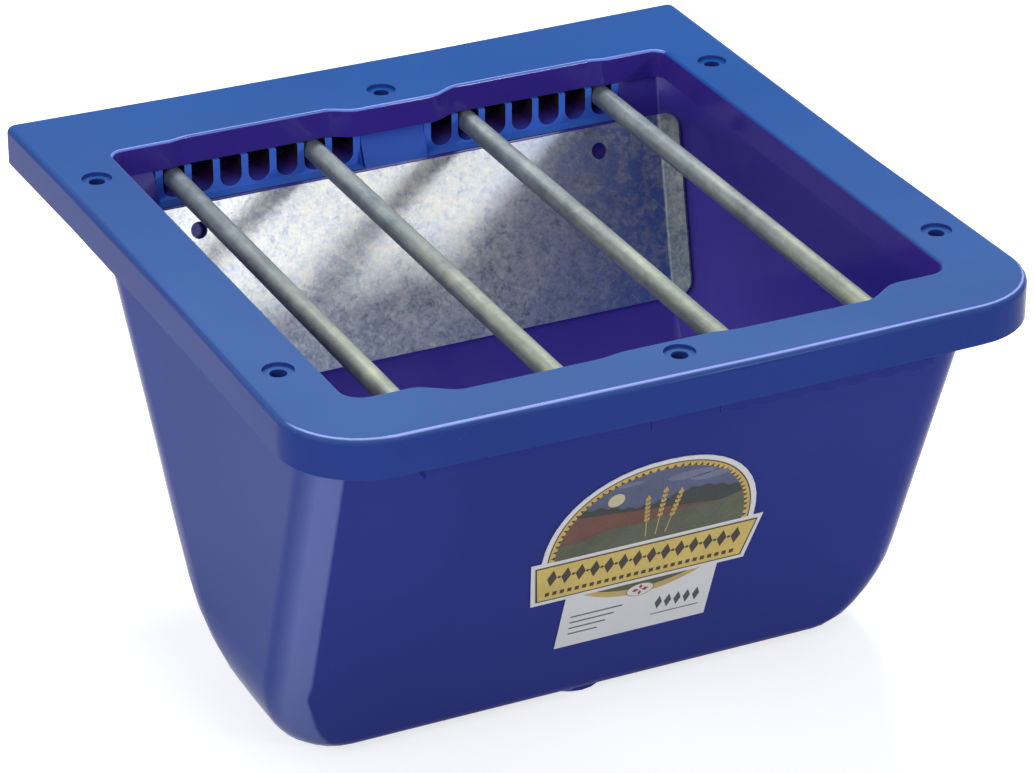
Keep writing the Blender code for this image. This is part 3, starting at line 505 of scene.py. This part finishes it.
def add_closure(row, stretches, material):
    """One piece of closed solids for a row, each through a series of four-cornered sections across."""
    points, faces = [], []
    for sections in stretches:
        first = len(points)
        last = first + 4 * (len(sections) - 1)
        points += [point for section in sections for point in section]
        for a in range(first, last, 4):
            faces += [(a + k, a + (k + 1) % 4, a + 4 + (k + 1) % 4, a + 4 + k) for k in range(4)]
        faces += [tuple(first + k for k in range(4)), tuple(last + k for k in range(4))]
    mesh = bpy.data.meshes.new(f"{row}_closure")
    mesh.from_pydata(points, [], faces)
    build = bmesh.new()
    build.from_mesh(mesh)
    bmesh.ops.recalc_face_normals(build, faces=build.faces)
    build.to_mesh(mesh)
    build.free()
    mesh.materials.append(material)
    obj = bpy.data.objects.new(f"{row}_closure", mesh)
    bpy.context.scene.collection.objects.link(obj)
    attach(obj, ROOT)


def dress_tub():
    # The tub's blue; faces that face the sky are painted greener and paler, as if lit from above
    deep, sky_colour = (0.036, 0.051, 0.292), (0.034, 0.066, 0.36)
    # Painted light from the left: a pale left corner, and a left wall lighter at its front than at its rear
    corner, wall_front, wall_rear = (0.150, 0.190, 0.480), (0.050, 0.080, 0.310), (0.016, 0.045, 0.305)
    outside = plastic("tub_blue", deep, sky_colour, 0.5, specular=0.015, side=(corner, wall_front, wall_rear))
    row_blue = plastic("row_blue", deep, sky_colour, 0.5, specular=0.015)
    # The inside: violet, painted lighter towards the bottom
    inside = plastic("tub_inside_violet", (0.066, 0.044, 0.370), (0.066, 0.044, 0.40), 0.5,
                     specular=0.25, low=(0.200, 0.160, 0.600))
    # Lighter blue on the front rows' rounded edges: a painted highlight
    front_row_highlight = plastic("row_edge_highlight_blue", (0.080, 0.105, 0.430), (0.080, 0.110, 0.440), 0.5)
    # The block between the rear sockets, and the rear rows' closures: a lighter copy of the tub's blue,
    # painted light
    block = plastic("block_lit_blue", (0.055, 0.145, 0.600), (0.034, 0.115, 0.490), 0.8,
                    rough=0.35, specular=0.02)
    # The rear rows' posts and ledge: a lighter copy of the blue, painted light where the lamp falls on them
    ledge = plastic("socket_lit_blue", (0.070, 0.210, 0.780), (0.060, 0.190, 0.700), 0.8,
                    rough=0.35, specular=0.02)
    # Near white blue on the rear sockets' rounded edges: a painted highlight
    rear_socket_highlight = plastic("socket_edge_highlight_blue", (0.300, 0.460, 0.950), (0.300, 0.460, 0.950), 0.8)
    slots = slot_shade("socket_inside")
    assign("tub", (outside, inside, block), tub_part)
    for name in FRONT_ROWS:
        assign(name, (row_blue, slots, front_row_highlight), row_part(name))
        soften(name, FRONT_ROW_EDGE, edge_material=2)
        closing = [web(name), *sill(name), *cheeks(name, FRONT_CHEEK), *seams(name, FRONT_SEAM)]
        add_closure(name, closing, row_blue)
    for name in BACK_ROWS:
        assign(name, (ledge, slots, rear_socket_highlight), row_part(name))
        soften(name, BACK_ROW_EDGE, edge_material=2)
        add_closure(name, [*cheeks(name, BACK_CHEEK), *seams(name, BACK_SEAM)], block)
    soften("tub", TUB_EDGE)


def dress_rim():
    # The rim's top: painted light on faces that face the sky, paler still towards the front left, and a
    # painted highlight along its rounded front edge
    top = plastic("rim_blue", (0.027, 0.056, 0.285), (0.005, 0.068, 0.272), 0.98,
                  pale=(0.048, 0.112, 0.305), line=(0.33, 0.39, 0.82))
    lip = plastic("rim_lip_violet", (0.052, 0.028, 0.290), (0.052, 0.028, 0.290), 0.2,
                  rough=0.10, specular=0.3)
    # Light blue on the rounding of the opening's rear edge: a painted highlight
    opening_rear_highlight = plastic("rim_rear_highlight_blue", (0.160, 0.240, 0.720), (0.130, 0.240, 0.720), 0.5, specular=0.15)
    # Lighter blue on the rim's rounded edges: a painted highlight
    thin_edge_highlight = plastic("rim_thin_edge_blue", (0.045, 0.090, 0.400), (0.020, 0.100, 0.340), 0.9)
    assign("rim_frame", (top, lip, opening_rear_highlight, thin_edge_highlight), rim_part)
    soften("rim_frame", RIM_EDGE, edge_material=3)


def dress_fittings():
    # The plate's rounded edges are lighter: a painted highlight
    assign("back_plate", (galvanised("galvanised_sheet"), galvanised("galvanised_edge_highlight", lightness=1.7)))
    soften("back_plate", PLATE_EDGE, segments=2, edge_material=1)
    for index, name in enumerate(BARS):
        assign(name, [zinc_rod(f"zinc_rod_{index + 1}", shift=37.0 * index)])
        soften(name, SMALL_EDGE, segments=2)
    screw_dark = screw_steel("dark_screw")
    for name in SCREWS:
        assign(name, [screw_dark])
        soften(name, SMALL_EDGE, segments=2)
    assign("front_label", [printed("label_white", (0.84, 0.84, 0.85), 0.03)])


# The label's print, in millimetres across the front wall and down it from the rim's top face

MILLIMETRE = 0.001
LABEL_START = Vector((0.0, -0.29775, 0.0163))
LABEL_LEAN = math.atan(0.369)
LABEL_DOWN = Vector((0, math.sin(LABEL_LEAN), -math.cos(LABEL_LEAN)))
LABEL_OUT = Vector((0, -math.cos(LABEL_LEAN), -math.sin(LABEL_LEAN)))
LABEL_FACE = 0.6
LAYER_STEP = 0.02
ARCH_CENTRE = 11.2
ARCH_BASE = 115.9
ARCH_HALF = 48.5
ARCH_RISE = 48.0
ARCH_POWER = 2.2
ARCH_STEPS = 48
TEETH = 45
TEETH_FOOT = 5.5
TEETH_TIP = 3.6
PICTURE_INSET = 5.6
PICTURE_GAP = 0.4
PICTURE_STEPS = 60
GRAIN_FOOT = 113.0
GRAIN_PAIRS = 6
BAND_HEIGHT = 26.2
BAND_HALF = 53.2
BAND_RAKE = 3.6
LOZENGES = 14
LOZENGE_PITCH = 6.5
LOZENGE_DOWN = ARCH_BASE + 10.2
DASHES = 26
DASH_PITCH = 3.4
DASH_DOWN = ARCH_BASE + 18.8
PANEL_TOP = ARCH_BASE + BAND_HEIGHT
PANEL_CENTRE = 13.2
SWAG_STEPS = 24
SWAG_GAP = 0.2
ROSETTE_DOWN = PANEL_TOP + 5.2


def label_point(across, down, lift):
    flat = Vector((across, 0, 0)) * MILLIMETRE + LABEL_DOWN * (down * MILLIMETRE)
    return LABEL_START + flat + LABEL_OUT * (lift * MILLIMETRE)


def ink(name, shapes, layer, colour, vary=0.10):
    """Thin printed shapes, one n-gon each, lifted off the label by their layer."""
    points, faces = [], []
    for shape in shapes:
        start = len(points)
        points += [label_point(x, y, LABEL_FACE + LAYER_STEP * (1 + layer)) for x, y in shape]
        faces.append(tuple(range(start, start + len(shape))))
    mesh = bpy.data.meshes.new(name)
    mesh.from_pydata(points, [], faces)
    for polygon in mesh.polygons:
        if polygon.normal.dot(LABEL_OUT) < 0:
            polygon.flip()
    mesh.materials.append(printed(name, colour, vary))
    obj = bpy.data.objects.new(name, mesh)
    bpy.context.scene.collection.objects.link(obj)
    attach(obj, ROOT)


def arch_point(turn, inset):
    """A place on the arch's edge, inset evenly: turn goes from the right end over the top to the left."""
    x = math.copysign(abs(math.cos(turn)) ** (2 / ARCH_POWER), math.cos(turn))
    rise = abs(math.sin(turn)) ** (2 / ARCH_POWER)
    return ARCH_CENTRE + (ARCH_HALF - inset) * x, ARCH_BASE - (ARCH_RISE - inset) * rise


def arch(inset):
    return [arch_point(math.pi * i / ARCH_STEPS, inset) for i in range(ARCH_STEPS + 1)]


def arch_height(x, inset):
    """How far down the wall the inset arch's edge is at a place across."""
    share = min(1.0, abs(x - ARCH_CENTRE) / (ARCH_HALF - inset))
    return ARCH_BASE - (ARCH_RISE - inset) * (1 - share ** ARCH_POWER) ** (1 / ARCH_POWER)


def under_arch(edge):
    """The part of the arch's picture below a curve."""
    half = ARCH_HALF - PICTURE_INSET - PICTURE_GAP
    xs = [ARCH_CENTRE - half + 2 * half * i / PICTURE_STEPS for i in range(PICTURE_STEPS + 1)]
    top = [(x, min(ARCH_BASE, max(edge(x), arch_height(x, PICTURE_INSET)))) for x in xs]
    return top + [(xs[-1], ARCH_BASE), (xs[0], ARCH_BASE)]


def far_trees(x):
    return 91.0 + 2.4 * math.sin(x * 0.13 + 1.0) + 0.7 * math.sin(x * 0.9)


def ploughed_field(x):
    return 96.5 + 0.13 * (x - ARCH_CENTRE)


def near_field(x):
    return 102.5 - 0.10 * (x - ARCH_CENTRE) + math.sin(x * 0.2)


def disc(x, y, radius, steps, squash=1.0):
    turns = [2 * math.pi * i / steps for i in range(steps)]
    return [(x + radius * math.cos(a), y + radius * squash * math.sin(a)) for a in turns]


def lozenge(x, y, half_width, half_height):
    return [(x - half_width, y), (x, y - half_height), (x + half_width, y), (x, y + half_height)]


def strip(x, y, width, height):
    return [(x, y), (x + width, y), (x + width, y + height), (x, y + height)]


def grain_ear(x, height, lean):
    """A tapering stalk with paired grains up its upper half and one at its tip."""
    tip_x, tip_y = x + lean, GRAIN_FOOT - height
    shapes = [[(x - 0.25, GRAIN_FOOT), (x + 0.25, GRAIN_FOOT), (tip_x + 0.12, tip_y), (tip_x - 0.12, tip_y)]]
    for i in range(GRAIN_PAIRS):
        share = 0.45 + 0.55 * i / (GRAIN_PAIRS - 1)
        cx, cy = x + lean * share, GRAIN_FOOT - height * share
        for side in (-1, 1):
            shapes.append([(cx, cy + 1.2), (cx + side * 1.3, cy + 0.1),
                           (cx + side * 1.0, cy - 1.6), (cx, cy - 0.5)])
    shapes.append(lozenge(tip_x, tip_y - 1.4, 0.7, 1.8))
    return shapes


def banner(inset):
    """The raked outline of the band under the arch."""
    half, top, bottom = BAND_HALF - inset, ARCH_BASE + inset, PANEL_TOP - inset
    return [(ARCH_CENTRE - half, top), (ARCH_CENTRE + half, top),
            (ARCH_CENTRE + half - BAND_RAKE, bottom), (ARCH_CENTRE - half + BAND_RAKE, bottom)]


def swag(half, sag):
    """A crescent that hangs from the band: straight on top, curved below."""
    xs = [PANEL_CENTRE + half * (-1 + 2 * i / SWAG_STEPS) for i in range(SWAG_STEPS + 1)]
    low = [(x, PANEL_TOP + SWAG_GAP + sag * (1 - ((x - PANEL_CENTRE) / half) ** 2)) for x in xs]
    return low + [(xs[-1], PANEL_TOP), (xs[0], PANEL_TOP)]


def print_arch():
    """The arch: a gold border with small teeth, and a field landscape with three ears of grain."""
    brown = (0.070, 0.038, 0.024)
    teeth = []
    for i in range(TEETH):
        corners = ((0.2, TEETH_FOOT), (0.5, TEETH_TIP), (0.8, TEETH_FOOT))
        teeth.append([arch_point(math.pi * (i + share) / TEETH, inset) for share, inset in corners])
    clouds = [disc(x, y, radius, 24, 0.22) for x, y, radius in ((24, 80, 11), (33, 83, 9), (-4, 78, 6))]
    ears = [(9.0, 23.0, -3.0), (13.5, 26.0, 0.0), (18.0, 23.0, 3.0)]
    grain = [shape for x, height, lean in ears for shape in grain_ear(x, height, lean)]
    ink("print_arch_line", [arch(2.4)], 0, brown)
    ink("print_arch_band", [arch(3.0)], 1, (0.66, 0.47, 0.140), 0.14)
    ink("print_arch_teeth", teeth, 2, brown)
    ink("print_sky", [arch(PICTURE_INSET)], 3, (0.095, 0.115, 0.215), 0.28)
    ink("print_cloud", clouds, 4, (0.17, 0.19, 0.30), 0.15)
    ink("print_far_trees", [under_arch(far_trees)], 5, (0.030, 0.040, 0.036), 0.40)
    ink("print_ploughed_field", [under_arch(ploughed_field)], 6, (0.155, 0.062, 0.045), 0.25)
    ink("print_near_field", [under_arch(near_field)], 7, (0.100, 0.110, 0.070), 0.35)
    ink("print_sun", [disc(-9.0, 86.0, 3.8, 28)], 4, (0.66, 0.58, 0.36))
    ink("print_grain", grain, 8, (0.60, 0.42, 0.13), 0.15)


def print_band():
    """The gold band under the arch, with two rows of plain ornament."""
    row = []
    for i in range(LOZENGES):
        x = ARCH_CENTRE + (i - (LOZENGES - 1) / 2) * LOZENGE_PITCH
        row.append(lozenge(x, LOZENGE_DOWN, 2.3, 5.0))
        if i < LOZENGES - 1:
            row.append(disc(x + LOZENGE_PITCH / 2, LOZENGE_DOWN, 0.8, 12))
    row += [strip(ARCH_CENTRE + (i - 12.9) * DASH_PITCH, DASH_DOWN, 2.0, 2.3) for i in range(DASHES)]
    ink("print_band_line", [banner(2.2)], 9, (0.055, 0.030, 0.020))
    ink("print_band_gold", [banner(2.9)], 10, (0.74, 0.56, 0.155), 0.12)
    ink("print_band_ornament", row, 11, (0.050, 0.032, 0.022))


def print_panel():
    """The white panel under the band: a gold swag with a small rosette, and plain ruled marks."""
    petals = [lozenge(PANEL_CENTRE + 2.2 * side, ROSETTE_DOWN, 1.7, 1.1) for side in (-1, 1)]
    petals += [lozenge(PANEL_CENTRE, ROSETTE_DOWN + 1.9 * side, 0.9, 1.4) for side in (-1, 1)]
    marks = [strip(-17.5 + 0.2 * i, PANEL_TOP + 12.5 + 3.6 * i, 24.0 - 3.5 * i, 0.8) for i in range(4)]
    marks += [lozenge(24.0 + 4.4 * i, PANEL_TOP + 17.0, 1.7, 4.2) for i in range(5)]
    marks.append(strip(21.5, PANEL_TOP + 23.6, 22.5, 0.6))
    ink("print_swag_gold", [swag(27.0, 7.4)], 0, (0.60, 0.44, 0.15), 0.12)
    ink("print_swag_green", [swag(21.0, 3.6)], 1, (0.085, 0.095, 0.055), 0.25)
    ink("print_rosette_edge", [disc(PANEL_CENTRE, ROSETTE_DOWN, 6.4, 32, 0.62)], 2, (0.30, 0.20, 0.10))
    ink("print_rosette", [disc(PANEL_CENTRE, ROSETTE_DOWN, 6.0, 32, 0.60)], 3, (0.80, 0.79, 0.77), 0.03)
    ink("print_petals", petals, 4, (0.42, 0.035, 0.030))
    ink("print_panel_marks", marks, 0, (0.075, 0.070, 0.075))


# The stage, the light and the camera

FLOOR_HALF = 6.0
FLOOR_GAP = 0.0005
FLOOR_GREY = (0.60, 0.60, 0.60, 1)
FLOOR_GLOW = 0.70
FILL_COLOUR = (0.92, 0.95, 1.0, 1)
FILL_STRENGTH = 0.42
LAMP_AIM = Vector((0.0, -0.15, -0.03))
CAMERA_PLACE = Vector((-0.7048, -1.6262, 0.7718))
CAMERA_AIM = Vector((-0.0277, -0.2150, -0.0337))
LENS = 150.65
SENSOR_WIDTH = 36.0


def seen_direct(tree):
    """1 for what the camera sees, by itself or through a reflection or a clear piece."""
    path = tree.nodes.new("ShaderNodeLightPath")
    total = path.outputs["Is Camera Ray"]
    for kind in ("Is Glossy Ray", "Is Transmission Ray"):
        larger = tree.nodes.new("ShaderNodeMath")
        larger.operation = "MAXIMUM"
        tree.links.new(total, larger.inputs[0])
        tree.links.new(path.outputs[kind], larger.inputs[1])
        total = larger.outputs[0]
    return total


def floor_white():
    """Matt grey that shows the contact shadow, lifted to white where it is seen."""
    material = bpy.data.materials.new("floor_white")
    material.use_nodes = True
    tree = material.node_tree
    shader = tree.nodes["Principled BSDF"]
    shader.inputs["Base Color"].default_value = FLOOR_GREY
    shader.inputs["Roughness"].default_value = 0.9
    shader.inputs["Specular IOR Level"].default_value = 0.1
    glow = tree.nodes.new("ShaderNodeEmission")
    add = tree.nodes.new("ShaderNodeAddShader")
    strength = tree.nodes.new("ShaderNodeMath")
    strength.operation = "MULTIPLY"
    strength.inputs[1].default_value = FLOOR_GLOW
    tree.links.new(seen_direct(tree), strength.inputs[0])
    tree.links.new(strength.outputs[0], glow.inputs["Strength"])
    tree.links.new(shader.outputs[0], add.inputs[0])
    tree.links.new(glow.outputs[0], add.inputs[1])
    tree.links.new(add.outputs[0], tree.nodes["Material Output"].inputs["Surface"])
    return material


def make_stage():
    mesh = bpy.data.meshes.new("floor")
    half, low = FLOOR_HALF, TUB_LOW.z - FLOOR_GAP
    corners = [(-half, -half, low), (half, -half, low), (half, half, low), (-half, half, low)]
    mesh.from_pydata(corners, [], [(0, 1, 2, 3)])
    mesh.materials.append(floor_white())
    floor = bpy.data.objects.new("floor", mesh)
    bpy.context.scene.collection.objects.link(floor)


def make_world():
    """Plain white where it is seen, and a dimmer cool white as fill light."""
    world = bpy.data.worlds.new("studio")
    bpy.context.scene.world = world
    world.use_nodes = True
    tree = world.node_tree
    tree.nodes.clear()
    fill = tree.nodes.new("ShaderNodeBackground")
    fill.inputs["Color"].default_value = FILL_COLOUR
    fill.inputs["Strength"].default_value = FILL_STRENGTH
    white = tree.nodes.new("ShaderNodeBackground")
    white.inputs["Color"].default_value = (1, 1, 1, 1)
    mix = tree.nodes.new("ShaderNodeMixShader")
    tree.links.new(seen_direct(tree), mix.inputs[0])
    tree.links.new(fill.outputs[0], mix.inputs[1])
    tree.links.new(white.outputs[0], mix.inputs[2])
    out = tree.nodes.new("ShaderNodeOutputWorld")
    tree.links.new(mix.outputs[0], out.inputs[0])


def put_in_scene(name, data, place, aim):
    """Puts a lamp or the camera at a place, looking at its aim."""
    obj = bpy.data.objects.new(name, data)
    bpy.context.scene.collection.objects.link(obj)
    obj.location = place
    obj.rotation_euler = (aim - place).to_track_quat("-Z", "Y").to_euler()
    return obj


def area_lamp(name, offset, size, power):
    data = bpy.data.lights.new(name, "AREA")
    data.shape = "RECTANGLE"
    data.size, data.size_y = size
    data.energy = power
    put_in_scene(name, data, LAMP_AIM + offset, LAMP_AIM)


def make_lamps():
    area_lamp("key", Vector((0.42, -0.87, 0.26)) * 2.3, size=(0.20, 0.20), power=10)
    area_lamp("top", Vector((0.3, 1.0, 2.0)), size=(1.4, 0.5), power=50)
    area_lamp("left", Vector((-0.85, -0.35, 0.45)) * 2.4, size=(1.6, 1.2), power=17)


def make_camera():
    data = bpy.data.cameras.new("camera")
    data.lens = LENS
    data.sensor_width = SENSOR_WIDTH
    bpy.context.scene.camera = put_in_scene("camera", data, CAMERA_PLACE, CAMERA_AIM)


dress_tub()
dress_rim()
dress_fittings()
print_arch()
print_band()
print_panel()
make_stage()
make_world()
make_lamps()
make_camera()
bpy.context.scene.view_settings.view_transform = "Standard"
